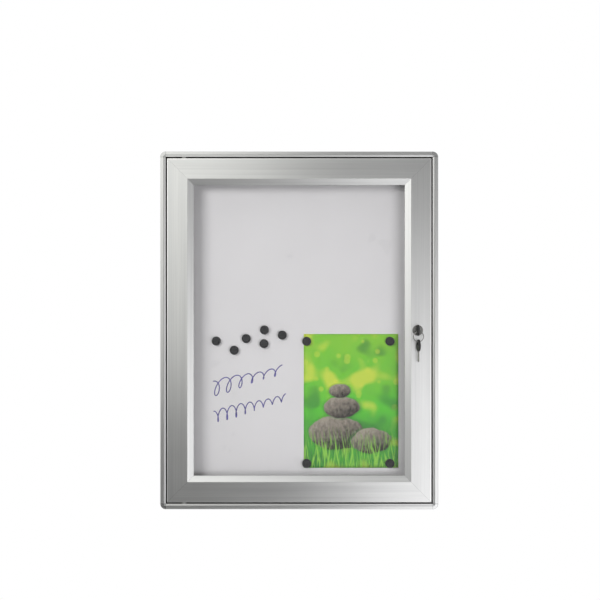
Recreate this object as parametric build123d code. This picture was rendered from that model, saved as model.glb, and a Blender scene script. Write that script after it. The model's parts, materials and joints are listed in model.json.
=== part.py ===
from build123d import *
import os

# Wall-hung glazed notice case, in millimetres. The origin is the middle of the wall plane:
# +X is the viewer's right, +Y goes into the wall and +Z is up, so the front faces -Y.

# What the case shows: a grid of sheets with a margin round it
sheet_width = 210.0
sheet_height = 297.0
sheet_thickness = 0.25
sheets_across = 2
sheets_down = 2
sheet_margin = 21.0

# Cabinet rails, seen end on: u runs inward from the outer side, v back from the crown
case_depth = 60.0
rim_width = 12.0
rail_wall = 1.8
crown_radius = 2.0
crown_wall = 4.2
groove_place = 7.4
groove_width = 0.9
groove_depth = 0.8
lip_drop = 0.7
ledge_width = 8.0
ledge_thickness = 2.0
edge_break = 0.5
tenon_length = 30.0
tenon_clearance = 0.15
tenon_slot_width = 14.0
tenon_slot_depth = 3.0

# Panel sandwich, seated from behind against the ledge
face_sheet = 1.0
core_board = 6.3
rear_sheet = 0.7
panel_clearance = 0.5
wall_hole_radius = 3.25
wall_hole_inset = 15.0
panel_screw_radius = 1.75
panel_screw_head_radius = 3.0
panel_screw_clearance = 0.1
screw_count_across = 3
screw_count_down = 4
panel_screw_end_inset = 60.0

# Door frame, seen end on: u runs inward from the outer edge, v back from the face
door_gap = 3.0
door_recess = 1.0
door_thickness = 20.0
door_face_width = 44.5
door_edge_radius = 1.2
bevel_width = 13.0
bevel_depth = 9.0
bevel_edge_radius = 1.2
lip_height = 2.0
door_front_wall = 2.0
door_side_wall = 1.8
rebate_setback = 2.0
bead_groove_depth = 0.8
bead_groove_width = 1.4
bead_groove_place = 16.6

# Glazing
pane_thickness = 3.0
pane_edge_clearance = 1.5
gasket_thickness = 1.0
gasket_width = 8.5
gasket_setback = 1.0
bead_width = 11.0
bead_lip = 1.5
bead_top_width = 4.0
bead_clearance = 0.1

# Corner cleats inside the door frame
cleat_length = 70.0
cleat_width = 20.0
cleat_clearance = 0.2
cleat_fillet = 6.0

# Pivots, set in from the hinge edge so that the inset door can turn inside the rim
hinge_setback = 36.5
hinge_depth = 10.0
pin_radius = 3.0
pin_running_clearance = 0.05
pin_fixed_clearance = 0.05
pin_seat = 18.0
pin_reach = 8.0
pin_chamfer = 0.6
bush_flange_radius = 4.8
bush_neck_radius = 4.0
bush_barb_radius = 4.4
bush_tip_radius = 3.8
bush_end_clearance = 0.3

# Strike and stop angles on the lock side
angle_thickness = 2.0
angle_reach = 12.0
angle_ledge_gap = 4.0
angle_bend_radius = 1.5
strike_length = 60.0
stop_length = 30.0
stop_end_inset = 75.0
stop_gap = 2.0
buffer_clearance = 0.3
buffer_width = 7.0
buffer_length = 20.0
angle_screw_radius = 1.75
angle_screw_head_radius = 3.2
angle_screw_head = 2.0
angle_screw_length = 6.0
angle_screw_clearance = 0.1
angle_screw_edge = 9.0
angle_screw_setback = 9.0

# Cam lock
lock_setback = 30.0
lock_flange_radius = 11.5
lock_flange = 2.0
lock_flange_edge_radius = 0.8
barrel_radius = 9.5
barrel_clearance = 0.1
barrel_flat = 8.2
barrel_end = 3.6
nut_across_flats = 24.0
nut_thickness = 3.2
plug_radius = 6.0
plug_head_radius = 7.0
plug_head = 1.2
plug_running_clearance = 0.05
plug_recess = 0.3
cam_gap = 0.8
cam_thickness = 2.5
cam_length = 29.5
cam_width = 16.0
cam_tip_width = 12.0
cam_square = 7.0
cam_clearance = 0.05
cam_screw_radius = 1.95
cam_screw_head_radius = 4.5
cam_screw_head = 3.0
cam_screw_length = 5.4
cam_screw_clearance = 0.05
hex_key_radius = 1.7
hex_key_depth = 1.6

# Keys: the blade runs back from the head's near end
blade_length = 23.0
blade_width = 7.6
blade_thickness = 2.2
blade_tip = 3.0
blade_clearance = 0.2
tang_length = 9.0
tang_clearance = 0.03
bitting_depths = (1.6, 0.9, 2.1, 1.3)
bitting_start = 5.0
bitting_pitch = 3.8
ward_width = 1.4
ward_depth = 0.45
ward_drop = 1.0
head_radius = 12.0
head_end_radius = 10.0
head_length = 26.0
head_thickness = 4.2
head_edge_radius = 0.9
head_rim = 2.2
head_recess = 0.5
head_standoff = 1.0
key_hole_radius = 4.4
key_hole_setback = 8.0

# Key ring and the spare key that hangs from it
ring_radius = 11.0
wire_radius = 0.9
ring_clearance = 0.85
spare_clearance = 0.45
spare_twist = 11.0

# Magnets and the sheet they hold
magnet_radius = 10.0
magnet_height = 7.0
magnet_edge_radius = 1.2
magnet_ring_radius = 6.6
magnet_ring_width = 0.9
magnet_ring_depth = 0.5
magnet_dimple_radius = 1.6
sheet_left = 10.0
sheet_top = -8.0
free_magnets = (
    (-183.9, -23.6),
    (-144.0, -44.0),
    (-117.4, -18.3),
    (-77.0, 0.8),
    (-77.9, -29.6),
    (-37.6, -10.5),
)
sheet_magnet_left = 6.5
sheet_magnet_right = 19.0
sheet_magnet_top = 16.3
sheet_magnet_bottom = 10.2

# Sizes that follow from those above
view_width = sheets_across * sheet_width + 2 * sheet_margin
view_height = sheets_down * sheet_height + 2 * sheet_margin
door_profile = door_face_width + bevel_width
rebate_place = door_face_width - rebate_setback
door_width = view_width + 2 * door_profile
door_height = view_height + 2 * door_profile
opening_width = door_width + 2 * door_gap
opening_height = door_height + 2 * door_gap
case_width = opening_width + 2 * rim_width
case_height = opening_height + 2 * rim_width
panel_thickness = face_sheet + core_board + rear_sheet
rim_front = -case_depth
door_front = rim_front + door_recess
door_rear = door_front + door_thickness
panel_front = -panel_thickness
land_depth = bevel_depth + lip_height
pane_front = door_front + land_depth + gasket_thickness
ledge_front = case_depth - panel_thickness - ledge_thickness
hinge_x = -door_width / 2 + hinge_setback
hinge_y = door_front + hinge_depth
lock_x = door_width / 2 - lock_setback
lock_face = door_front - lock_flange
angle_front = door_rear + stop_gap
angle_leg = panel_front - ledge_thickness - angle_ledge_gap - angle_front
stop_place = door_height / 2 - stop_end_inset
cam_front = angle_front + angle_thickness + cam_gap
head_near = lock_face - head_standoff
key_hole_y = head_near - head_length + key_hole_setback
ring_z = -(key_hole_radius - wire_radius - ring_clearance) - ring_radius
spare_hole_z = ring_z - ring_radius + wire_radius + spare_clearance - key_hole_radius

# Quarter turns about Y that carry a bottom member to each side of the frame
side_turns = {"bottom": 0, "left": 90, "top": 180, "right": 270}


def polygon(points):
    return make_face(Polyline(*points, close=True))


def corner(sketch, u, v):
    return sketch.vertices().sort_by_distance((u, v))[0]


def rounded(sketch, u, v, radius):
    return fillet(corner(sketch, u, v), radius)


def block(low, high):
    size = [b - a for a, b in zip(low, high)]
    middle = [(a + b) / 2 for a, b in zip(low, high)]
    return Pos(*middle) * Box(*size)


def turned_about_y(profile, x, z):
    # The profile's points are (radius, y), and the solid's axis runs along Y through (x, z)
    face = Plane(origin=(x, 0, z), x_dir=(1, 0, 0), z_dir=(0, 0, 1)) * profile
    return revolve(face, Axis((x, 0, z), (0, 1, 0)))


def rod(radius, start, end):
    # A round bar between two points
    span = Vector(*end) - Vector(*start)
    return extrude(Plane(origin=start, z_dir=span) * Circle(radius), span.length)


def member(section, length, offset, front):
    # A bottom member: its section is swept along X, with its outer side at z = -offset
    plane = Plane(origin=(length / 2, front, -offset), x_dir=(0, 0, 1), z_dir=(-1, 0, 0))
    return extrude(plane * section, length)


def front_outline(points):
    # A prism through the whole depth, from an outline seen from the front
    face = make_face(Polyline(*[(x, 0, z) for x, z in points], close=True))
    return extrude(face, 2 * case_depth, dir=(0, 1, 0), both=True)


def mitre(length, offset, start, width):
    # Full length up to start, then 45 degree ends over the given width
    half = length / 2
    low = -offset
    points = [(-half, low + start), (half, low + start)]
    points += [(half - width, low + start + width), (width - half, low + start + width)]
    if start > 0:
        points = [(-half, low), (half, low), points[1], points[2], points[3], points[0]]
    return front_outline(points)


def on_side(shape, side):
    return Rot(0, side_turns[side], 0) * shape


# Cabinet


def rim_outline(ledge):
    inner = [(rim_width, lip_drop), (rim_width, case_depth)]
    if ledge:
        deep = rim_width + ledge_width
        shelf = [(rim_width, ledge_front), (deep, ledge_front)]
        shelf += [(deep, ledge_front + ledge_thickness), (rim_width, ledge_front + ledge_thickness)]
        inner = [inner[0], *shelf, inner[1]]
    groove = [(groove_place - groove_width / 2, 0), (groove_place, groove_depth)]
    groove += [(groove_place + groove_width / 2, 0)]
    outline = polygon([(0, 0), *groove, *inner, (0, case_depth)])
    outline = rounded(outline, 0, 0, crown_radius)
    outline = rounded(outline, rim_width, lip_drop, edge_break)
    return rounded(outline, 0, case_depth, edge_break)


def rail_chamber(front, rear, clearance):
    low = rail_wall + clearance
    high = rim_width - rail_wall - clearance
    return polygon([(low, front), (high, front), (high, rear), (low, rear)])


def cabinet_rail(side):
    flat = side in ("top", "bottom")
    length = opening_width if flat else opening_height
    offset = (case_height if flat else case_width) / 2
    section = rim_outline(True) - rail_chamber(crown_wall, ledge_front, 0)
    section -= rail_chamber(ledge_front + ledge_thickness, case_depth - rail_wall, 0)
    rail = member(section, length, offset, rim_front) & mitre(length, offset, rim_width, ledge_width)
    return on_side(rail, side)


def cabinet_corner(side_x, side_z, turn):
    # Built as a lower left corner about its own inner edge, then turned to its place
    plane = Plane(origin=(0, rim_front, -rim_width), x_dir=(0, 0, 1), z_dir=(-1, 0, 0))
    post = revolve(plane * rim_outline(False), Axis((0, 0, 0), (0, 1, 0)), 90)
    front = rim_front + crown_wall + tenon_clearance
    rear = rim_front + ledge_front - tenon_clearance
    low = rail_wall + tenon_clearance - rim_width
    high = -rail_wall - tenon_clearance
    across = block((-rail_wall, front, low), (tenon_length, rear, high))
    up = block((low, front, -rail_wall), (high, rear, tenon_length))
    middle = (front + rear) / 2
    slot_front = middle - tenon_slot_width / 2
    slot_rear = middle + tenon_slot_width / 2
    across -= block((rail_wall, slot_front, high - tenon_slot_depth), (tenon_length, slot_rear, high))
    up -= block((high - tenon_slot_depth, slot_front, rail_wall), (high, slot_rear, tenon_length))
    place = Pos(side_x * opening_width / 2, 0, side_z * opening_height / 2)
    return place * Rot(0, turn, 0) * (post + across + up)


def panel_layer(front, rear):
    half_x = opening_width / 2 - panel_clearance
    half_z = opening_height / 2 - panel_clearance
    return block((-half_x, front, -half_z), (half_x, rear, half_z))


def wall_holes(shape):
    x = opening_width / 2 - wall_hole_inset
    z = opening_height / 2 - wall_hole_inset
    for place_x in (-x, x):
        for place_z in (-z, z):
            shape -= rod(wall_hole_radius, (place_x, -case_depth, place_z), (place_x, case_depth, place_z))
    return shape


def spread(first, last, count):
    return [first + (last - first) * i / (count - 1) for i in range(count)]


def panel_screw_places():
    x = opening_width / 2 - ledge_width / 2
    z = opening_height / 2 - ledge_width / 2
    along_x = spread(panel_screw_end_inset - x, x - panel_screw_end_inset, screw_count_across)
    along_z = spread(panel_screw_end_inset - z, z - panel_screw_end_inset, screw_count_down)
    places = [(place, side * z) for side in (-1, 1) for place in along_x]
    return places + [(side * x, place) for side in (-1, 1) for place in along_z]


def panel_screw(x, z, clearance):
    # Countersunk at the rear, with its tip level with the ledge's front
    shank = panel_screw_radius + clearance
    head = panel_screw_head_radius + clearance
    tip = panel_front - ledge_thickness
    points = [(0, tip), (shank, tip), (shank, shank - head), (head, 0), (0, 0)]
    return turned_about_y(polygon(points), x, z)


def screw_holes(shape):
    for x, z in panel_screw_places():
        shape -= panel_screw(x, z, panel_screw_clearance)
    return shape


def hinge_bush(end):
    # Snap-in flanged bush: its flange bridges the gap round the door
    door_end = door_height / 2
    foot = opening_height / 2
    top = foot + pin_reach
    bore = pin_radius + pin_running_clearance
    wall = foot + rail_wall
    points = [(bore, door_end + bush_end_clearance), (bush_flange_radius, door_end + bush_end_clearance)]
    points += [(bush_flange_radius, foot), (bush_neck_radius, foot), (bush_neck_radius, wall)]
    points += [(bush_barb_radius, wall), (bush_tip_radius, top), (bore, top)]
    plane = Plane(origin=(hinge_x, hinge_y, 0), x_dir=(1, 0, 0), z_dir=(0, -1, 0))
    bush = revolve(plane * polygon(points), Axis((hinge_x, hinge_y, 0), (0, 0, 1)))
    return bush if end > 0 else mirror(bush, Plane.XY)


def angle_bar(length, middle):
    # An angle on the lock-side rail: its flange stands behind the door's edge
    wall = opening_width / 2
    points = [(wall, angle_front), (wall, angle_front + angle_leg)]
    points += [(wall - angle_thickness, angle_front + angle_leg)]
    points += [(wall - angle_thickness, angle_front + angle_thickness)]
    points += [(wall - angle_reach, angle_front + angle_thickness), (wall - angle_reach, angle_front)]
    section = rounded(polygon(points), wall, angle_front, angle_bend_radius)
    section = rounded(section, wall - angle_reach, angle_front, edge_break)
    plane = Plane.XY.offset(middle - length / 2)
    return extrude(plane * section, length)


def angle_screw_spots(length, middle):
    return [middle - length / 2 + angle_screw_edge, middle + length / 2 - angle_screw_edge]


def angle_screw(z, clearance):
    inner = opening_width / 2 - angle_thickness
    y = angle_front + angle_leg - angle_screw_setback
    shank = rod(angle_screw_radius + clearance, (inner, y, z), (inner + angle_screw_length, y, z))
    if clearance:
        return shank
    head = rod(angle_screw_head_radius, (inner - angle_screw_head, y, z), (inner, y, z))
    head = fillet(head.edges().sort_by(Axis.X)[0], angle_screw_head / 3)
    return shank + head


def buffer_pad(middle):
    wall = opening_width / 2
    centre = wall - angle_reach / 2
    low = (centre - buffer_width / 2, door_rear + buffer_clearance, middle - buffer_length / 2)
    high = (centre + buffer_width / 2, angle_front, middle + buffer_length / 2)
    pad = block(low, high)
    return fillet(pad.edges().filter_by(Axis.Y), buffer_width / 4)


angles = {
    "strike_plate": (strike_length, 0),
    "stop_bracket_top": (stop_length, stop_place),
    "stop_bracket_bottom": (stop_length, -stop_place),
}
angle_screw_heights = [z for length, middle in angles.values() for z in angle_screw_spots(length, middle)]


def cabinet_nodes():
    nodes = {}
    for side in side_turns:
        rail = cabinet_rail(side)
        if side in ("top", "bottom"):
            height = opening_height / 2 * (1 if side == "top" else -1)
            rail -= rod(
                bush_neck_radius + pin_fixed_clearance,
                (hinge_x, hinge_y, height - rail_wall),
                (hinge_x, hinge_y, height + rail_wall),
            )
        if side == "right":
            for z in angle_screw_heights:
                rail -= angle_screw(z, angle_screw_clearance)
        nodes["cabinet_rail_" + side] = screw_holes(rail)
    nodes["cabinet_corner_bottom_left"] = cabinet_corner(-1, -1, 0)
    nodes["cabinet_corner_top_left"] = cabinet_corner(-1, 1, 90)
    nodes["cabinet_corner_top_right"] = cabinet_corner(1, 1, 180)
    nodes["cabinet_corner_bottom_right"] = cabinet_corner(1, -1, 270)
    core_front = panel_front + face_sheet
    nodes["panel_face"] = screw_holes(wall_holes(panel_layer(panel_front, core_front)))
    nodes["panel_core"] = screw_holes(wall_holes(panel_layer(core_front, -rear_sheet)))
    nodes["panel_rear_sheet"] = screw_holes(wall_holes(panel_layer(-rear_sheet, 0)))
    nodes["panel_screws"] = [panel_screw(x, z, 0) for x, z in panel_screw_places()]
    nodes["hinge_bush_top"] = hinge_bush(1)
    nodes["hinge_bush_bottom"] = hinge_bush(-1)
    for name, (length, middle) in angles.items():
        bar = angle_bar(length, middle)
        for z in angle_screw_spots(length, middle):
            bar -= angle_screw(z, angle_screw_clearance)
        nodes[name] = bar
    nodes["stop_buffers"] = [buffer_pad(stop_place), buffer_pad(-stop_place)]
    nodes["bracket_screws"] = [angle_screw(z, 0) for z in angle_screw_heights]
    return nodes


# Sheet and magnets


def magnet(x, z, seat):
    ring_in = magnet_ring_radius - magnet_ring_width / 2
    ring_out = magnet_ring_radius + magnet_ring_width / 2
    top = seat - magnet_height
    floor = top + magnet_ring_depth
    points = [(0, seat), (magnet_radius, seat), (magnet_radius, top), (ring_out, top)]
    points += [(magnet_ring_radius, floor), (ring_in, top), (magnet_dimple_radius, top), (0, floor)]
    profile = rounded(polygon(points), magnet_radius, top, magnet_edge_radius)
    profile = rounded(profile, magnet_radius, seat, edge_break)
    return turned_about_y(profile, x, z)


def magnet_places():
    sheet_front = panel_front - sheet_thickness
    right = sheet_left + sheet_width - sheet_magnet_right
    bottom = sheet_top - sheet_height + sheet_magnet_bottom
    left = sheet_left + sheet_magnet_left
    top = sheet_top - sheet_magnet_top
    places = [(x, z, panel_front) for x, z in free_magnets]
    return places + [(x, z, sheet_front) for z in (top, bottom) for x in (left, right)]


def notice_nodes():
    low = (sheet_left, panel_front - sheet_thickness, sheet_top - sheet_height)
    high = (sheet_left + sheet_width, panel_front, sheet_top)
    nodes = {"notice_sheet": block(low, high)}
    for number, (x, z, seat) in enumerate(magnet_places(), 1):
        nodes[f"magnet_{number}"] = magnet(x, z, seat)
    return nodes


# Door


def door_section():
    outline = polygon(
        [
            (0, 0),
            (door_face_width, 0),
            (door_profile, bevel_depth),
            (door_profile, land_depth),
            (rebate_place, land_depth),
            (rebate_place, door_thickness),
            (0, door_thickness),
        ]
    )
    outline = rounded(outline, 0, 0, door_edge_radius)
    outline = rounded(outline, 0, door_thickness, door_edge_radius / 2)
    outline = rounded(outline, door_face_width, 0, bevel_edge_radius)
    outline = rounded(outline, door_profile, bevel_depth, edge_break)
    inner = rebate_place - door_side_wall
    back = door_thickness - door_front_wall
    chamber = [(door_side_wall, door_front_wall), (inner, door_front_wall)]
    chamber += [(inner, back), (door_side_wall, back)]
    # The nose behind the bevel is hollow too, with one wall thickness all round
    slope = bevel_depth / bevel_width
    wall_drop = door_front_wall * (1 + slope**2) ** 0.5
    nose_back = land_depth - door_front_wall
    nose_end = door_face_width + (nose_back - wall_drop) / slope
    nose_start = door_face_width + (door_front_wall - wall_drop) / slope
    nose = [(rebate_place, door_front_wall), (nose_start, door_front_wall)]
    nose += [(nose_end, nose_back), (rebate_place, nose_back)]
    groove_end = bead_groove_place + bead_groove_width
    groove_floor = rebate_place - bead_groove_depth
    groove = [(groove_floor, bead_groove_place), (rebate_place, bead_groove_place)]
    groove += [(rebate_place, groove_end), (groove_floor, groove_end)]
    return outline - polygon(chamber) - polygon(nose) - polygon(groove)


def door_sides(section, inset):
    # Mitred members on all four sides; inset is where the section starts from the door's edge
    parts = {}
    depth = section.bounding_box().max.X
    for side in side_turns:
        flat = side in ("top", "bottom")
        length = door_width if flat else door_height
        offset = (door_height if flat else door_width) / 2
        bar = member(section, length, offset, door_front)
        cut = mitre(length - 2 * inset, offset - inset, 0, depth - inset)
        parts[side] = on_side(bar & cut, side)
    return parts


def pin_hole(shape, clearance):
    for end in (-1, 1):
        inner = (hinge_x, hinge_y, end * (door_height / 2 - pin_seat))
        outer = (hinge_x, hinge_y, end * opening_height / 2)
        shape -= rod(pin_radius + clearance, inner, outer)
    return shape


def pivot_pin(end):
    inner = end * (door_height / 2 - pin_seat)
    outer = end * (opening_height / 2 + pin_reach)
    pin = rod(pin_radius, (hinge_x, hinge_y, inner), (hinge_x, hinge_y, outer))
    return chamfer(pin.edges().filter_by(GeomType.CIRCLE), pin_chamfer)


def cleat(side_x, side_z):
    # An angle block that fills the outer part of both hollow members at a mitre
    near = door_side_wall + cleat_clearance
    far = near + cleat_width
    points = [(near, near), (cleat_length, near), (cleat_length, far)]
    points += [(far, far), (far, cleat_length), (near, cleat_length)]
    outline = rounded(polygon(points), far, far, cleat_fillet)
    front = door_front + door_front_wall + cleat_clearance
    rear = door_rear - door_front_wall - cleat_clearance
    plane = Plane(origin=(-door_width / 2, rear, -door_height / 2), x_dir=(1, 0, 0), z_dir=(0, -1, 0))
    body = extrude(plane * outline, rear - front)
    if side_x > 0:
        body = mirror(body, Plane.YZ)
    if side_z > 0:
        body = mirror(body, Plane.XY)
    return body


def door_layer(inset, front, rear):
    # A flat layer that keeps the same distance from all four edges of the door
    half_x = door_width / 2 - inset
    half_z = door_height / 2 - inset
    return block((-half_x, front, -half_z), (half_x, rear, half_z))


def gasket():
    # One strip all round, between the frame's lip and the pane
    inner = door_profile - gasket_setback
    front = pane_front - gasket_thickness
    return door_layer(inner - gasket_width, front, pane_front) - door_layer(inner, front, pane_front)


def bead_section():
    # Snaps into the groove of the rebate and presses the pane forward
    front = land_depth + gasket_thickness + pane_thickness
    foot = rebate_place + bead_clearance
    inner = rebate_place + bead_width
    hook = rebate_place - bead_groove_depth + bead_clearance
    hook_front = bead_groove_place + bead_clearance
    hook_rear = bead_groove_place + bead_groove_width - bead_clearance
    points = [(foot, front), (inner, front), (inner, front + bead_lip)]
    points += [(foot + bead_top_width, door_thickness), (foot, door_thickness)]
    points += [(foot, hook_rear), (hook, hook_rear), (hook, hook_front), (foot, hook_front)]
    return polygon(points), hook


def lock_hole(shape):
    radius = barrel_radius + barrel_clearance
    return shape - rod(radius, (lock_x, lock_face, 0), (lock_x, door_rear + lock_flange, 0))


def lock_housing():
    rear = door_rear + barrel_end
    bore = plug_radius + plug_running_clearance
    mouth = plug_head_radius + plug_running_clearance
    seat = lock_face + plug_recess + plug_head + plug_running_clearance
    points = [(mouth, lock_face), (lock_flange_radius, lock_face), (lock_flange_radius, door_front)]
    points += [(barrel_radius, door_front), (barrel_radius, rear), (bore, rear), (bore, seat), (mouth, seat)]
    profile = rounded(polygon(points), lock_flange_radius, lock_face, lock_flange_edge_radius)
    housing = turned_about_y(profile, lock_x, 0)
    for end in (-1, 1):
        low = (lock_x - barrel_radius, door_front, end * barrel_flat)
        high = (lock_x + barrel_radius, rear, end * barrel_radius)
        housing -= block([min(a, b) for a, b in zip(low, high)], [max(a, b) for a, b in zip(low, high)])
    return housing


def lock_nut():
    plane = Plane(origin=(lock_x, door_rear, 0), x_dir=(1, 0, 0), z_dir=(0, 1, 0))
    hexagon = RegularPolygon(nut_across_flats / 2, 6, major_radius=False)
    return extrude(plane * (hexagon - Circle(barrel_radius + barrel_clearance)), nut_thickness)


def door_nodes():
    nodes = {}
    frame = door_sides(door_section(), 0)
    nodes["door_rail_top"] = pin_hole(frame["top"], pin_fixed_clearance)
    nodes["door_rail_bottom"] = pin_hole(frame["bottom"], pin_fixed_clearance)
    nodes["door_stile_left"] = frame["left"]
    nodes["door_stile_right"] = lock_hole(frame["right"])
    nodes["pivot_cleats"] = [pin_hole(cleat(-1, end), pin_fixed_clearance) for end in (-1, 1)]
    nodes["corner_cleats"] = [cleat(1, end) for end in (-1, 1)]
    nodes["pivot_pin_top"] = pivot_pin(1)
    nodes["pivot_pin_bottom"] = pivot_pin(-1)
    pane_inset = rebate_place + pane_edge_clearance
    nodes["door_pane"] = door_layer(pane_inset, pane_front, pane_front + pane_thickness)
    nodes["glazing_gasket"] = gasket()
    for side, bead in door_sides(*bead_section()).items():
        nodes["glazing_bead_" + side] = bead
    nodes["lock_housing"] = lock_housing()
    nodes["lock_nut"] = lock_nut()
    return nodes


# Lock core


def key_slot(clearance, length):
    half_x = blade_thickness / 2 + clearance
    half_z = blade_width / 2 + clearance
    return block((lock_x - half_x, lock_face - head_standoff, -half_z), (lock_x + half_x, length, half_z))


def lock_plug():
    face = lock_face + plug_recess
    neck = face + plug_head
    tail_end = cam_front + cam_thickness
    points = [(0, face), (plug_head_radius, face), (plug_head_radius, neck)]
    points += [(plug_radius, neck), (plug_radius, cam_front), (0, cam_front)]
    plug = turned_about_y(polygon(points), lock_x, 0)
    half = cam_square / 2
    plug += block((lock_x - half, cam_front, -half), (lock_x + half, tail_end, half))
    plug -= key_slot(blade_clearance, head_near + blade_length + blade_clearance)
    hole = cam_screw_radius + cam_screw_clearance
    return plug - rod(hole, (lock_x, tail_end, 0), (lock_x, tail_end - cam_screw_length, 0))


def lock_cam():
    # Hangs straight down when unlocked; a quarter turn takes it behind the strike
    hub = cam_width / 2
    tip = cam_tip_width / 2
    outline = make_hull(Circle(hub).edges() + (Pos(0, tip - cam_length) * Circle(tip)).edges())
    outline -= Rectangle(cam_square + 2 * cam_clearance, cam_square + 2 * cam_clearance)
    plane = Plane(origin=(lock_x, cam_front + cam_thickness, 0), x_dir=(1, 0, 0), z_dir=(0, -1, 0))
    return extrude(plane * outline, cam_thickness)


def cam_screw():
    seat = cam_front + cam_thickness
    end = seat + cam_screw_head
    points = [(0, seat - cam_screw_length), (cam_screw_radius, seat - cam_screw_length)]
    points += [(cam_screw_radius, seat), (cam_screw_head_radius, seat)]
    points += [(cam_screw_head_radius, end - edge_break), (cam_screw_head_radius - edge_break, end), (0, end)]
    screw = turned_about_y(polygon(points), lock_x, 0)
    plane = Plane(origin=(lock_x, end, 0), x_dir=(1, 0, 0), z_dir=(0, 1, 0))
    return screw - extrude(plane * RegularPolygon(hex_key_radius, 6), -hex_key_depth)


# Keys, built with the head's near end at the origin and the blade along +Y


def key_blade():
    half = blade_width / 2
    points = [(-tang_length, -half), (blade_length - blade_tip, -half), (blade_length, 0)]
    points += [(blade_length - blade_tip, half), (-tang_length, half)]
    outline = polygon(points)
    for number, depth in enumerate(bitting_depths):
        along = bitting_start + number * bitting_pitch
        notch = [(along - depth, half), (along, half - depth), (along + depth, half)]
        outline -= polygon(notch)
    plane = Plane(origin=(-blade_thickness / 2, 0, 0), x_dir=(0, 1, 0), z_dir=(1, 0, 0))
    blade = extrude(plane * outline, blade_thickness)
    # A ward groove runs along each flat, out through the tip
    core = blade_thickness / 2 - ward_depth
    low = -ward_drop - ward_width / 2
    high = -ward_drop + ward_width / 2
    blade -= block((core, 0, low), (blade_thickness, blade_length, high))
    return blade - block((-blade_thickness, 0, low), (-core, blade_length, high))


def head_outline(inset):
    large = Pos(-head_radius, 0) * Circle(head_radius - inset)
    small = Pos(head_end_radius - head_length, 0) * Circle(head_end_radius - inset)
    return make_hull(large.edges() + small.edges())


def key_head():
    plane = Plane(origin=(-head_thickness / 2, 0, 0), x_dir=(0, 1, 0), z_dir=(1, 0, 0))
    head = extrude(plane * head_outline(0), head_thickness)
    head = fillet(head.edges(), head_edge_radius)
    hole_y = key_hole_setback - head_length
    # Both flats are sunk inside a rim, round a boss that carries the ring hole
    recess = head_outline(head_rim) - Pos(hole_y, 0) * Circle(key_hole_radius + head_rim)
    for depth in (0, head_thickness - head_recess):
        head -= extrude(plane.offset(depth) * recess, head_recess)
    head -= rod(key_hole_radius, (-head_thickness, hole_y, 0), (head_thickness, hole_y, 0))
    half_x = blade_thickness / 2 + tang_clearance
    half_z = blade_width / 2 + tang_clearance
    return head - block((-half_x, -tang_length - tang_clearance, -half_z), (half_x, head_radius, half_z))


def key_nodes():
    in_lock = Pos(lock_x, head_near, 0)
    # The spare hangs blade down from its hole, a little twisted on the ring
    hung = Pos(lock_x, key_hole_y, spare_hole_z) * Rot(0, 0, spare_twist) * Rot(-90, 0, 0)
    hung *= Pos(0, head_length - key_hole_setback, 0)
    ring = Pos(lock_x, key_hole_y, ring_z) * Rot(90, 0, 0) * Torus(ring_radius, wire_radius)
    return {
        "lock_plug": lock_plug(),
        "lock_cam": lock_cam(),
        "cam_screw": cam_screw(),
        "key_head": in_lock * key_head(),
        "key_blade": in_lock * key_blade(),
        "key_ring": ring,
        "spare_key_head": hung * key_head(),
        "spare_key_blade": hung * key_blade(),
    }


def main():
    os.makedirs("parts", exist_ok=True)
    nodes = cabinet_nodes() | notice_nodes() | door_nodes() | key_nodes()
    for name, shape in nodes.items():
        solids = shape if isinstance(shape, list) else [shape]
        export_step(Compound([s for shape in solids for s in shape.solids()]), f"parts/{name}.step")
    print(f"{len(nodes)} nodes, case {case_width} x {case_height} x {case_depth}")
    print(f"hinge {hinge_x} {hinge_y}, lock {lock_x}, key hole {key_hole_y}, ring {ring_z}, spare {spare_hole_z}")


main()
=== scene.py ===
import json
import math

import bmesh
import bpy
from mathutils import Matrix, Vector

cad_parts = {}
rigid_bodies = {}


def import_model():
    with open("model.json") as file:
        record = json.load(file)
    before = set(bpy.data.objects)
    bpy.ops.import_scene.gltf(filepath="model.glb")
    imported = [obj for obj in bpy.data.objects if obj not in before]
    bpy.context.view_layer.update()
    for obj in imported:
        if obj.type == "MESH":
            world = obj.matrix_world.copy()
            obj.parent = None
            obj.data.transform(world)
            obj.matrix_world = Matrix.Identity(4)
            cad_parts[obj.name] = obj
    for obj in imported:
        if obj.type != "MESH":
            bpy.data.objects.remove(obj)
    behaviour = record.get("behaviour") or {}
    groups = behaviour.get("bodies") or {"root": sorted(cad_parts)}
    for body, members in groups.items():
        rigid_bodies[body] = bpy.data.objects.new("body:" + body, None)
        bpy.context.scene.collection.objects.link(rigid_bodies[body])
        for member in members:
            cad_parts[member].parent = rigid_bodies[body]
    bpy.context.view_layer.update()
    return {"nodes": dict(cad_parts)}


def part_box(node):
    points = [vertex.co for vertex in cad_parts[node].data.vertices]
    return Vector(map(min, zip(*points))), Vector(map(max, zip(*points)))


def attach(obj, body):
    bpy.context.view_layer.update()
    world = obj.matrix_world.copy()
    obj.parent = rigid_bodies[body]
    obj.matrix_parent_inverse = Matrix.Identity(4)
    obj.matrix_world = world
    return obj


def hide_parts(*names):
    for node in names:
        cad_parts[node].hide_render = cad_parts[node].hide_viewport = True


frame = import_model()
nodes = frame["nodes"]
scene = bpy.context.scene
scene.view_settings.view_transform = "Standard"
quarter = math.pi / 2
noiseSpan = (0.3, 0.7)  # where nearly all values of a noise texture lie


# small tools for node trees

def addNode(tree, kind, values=None, **settings):
    node = tree.nodes.new(kind)
    for key, value in settings.items():
        setattr(node, key, value)
    for socket, value in (values or {}).items():
        if isinstance(value, bpy.types.NodeSocket):
            tree.links.new(value, node.inputs[socket])
        else:
            node.inputs[socket].default_value = value
    return node


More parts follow.
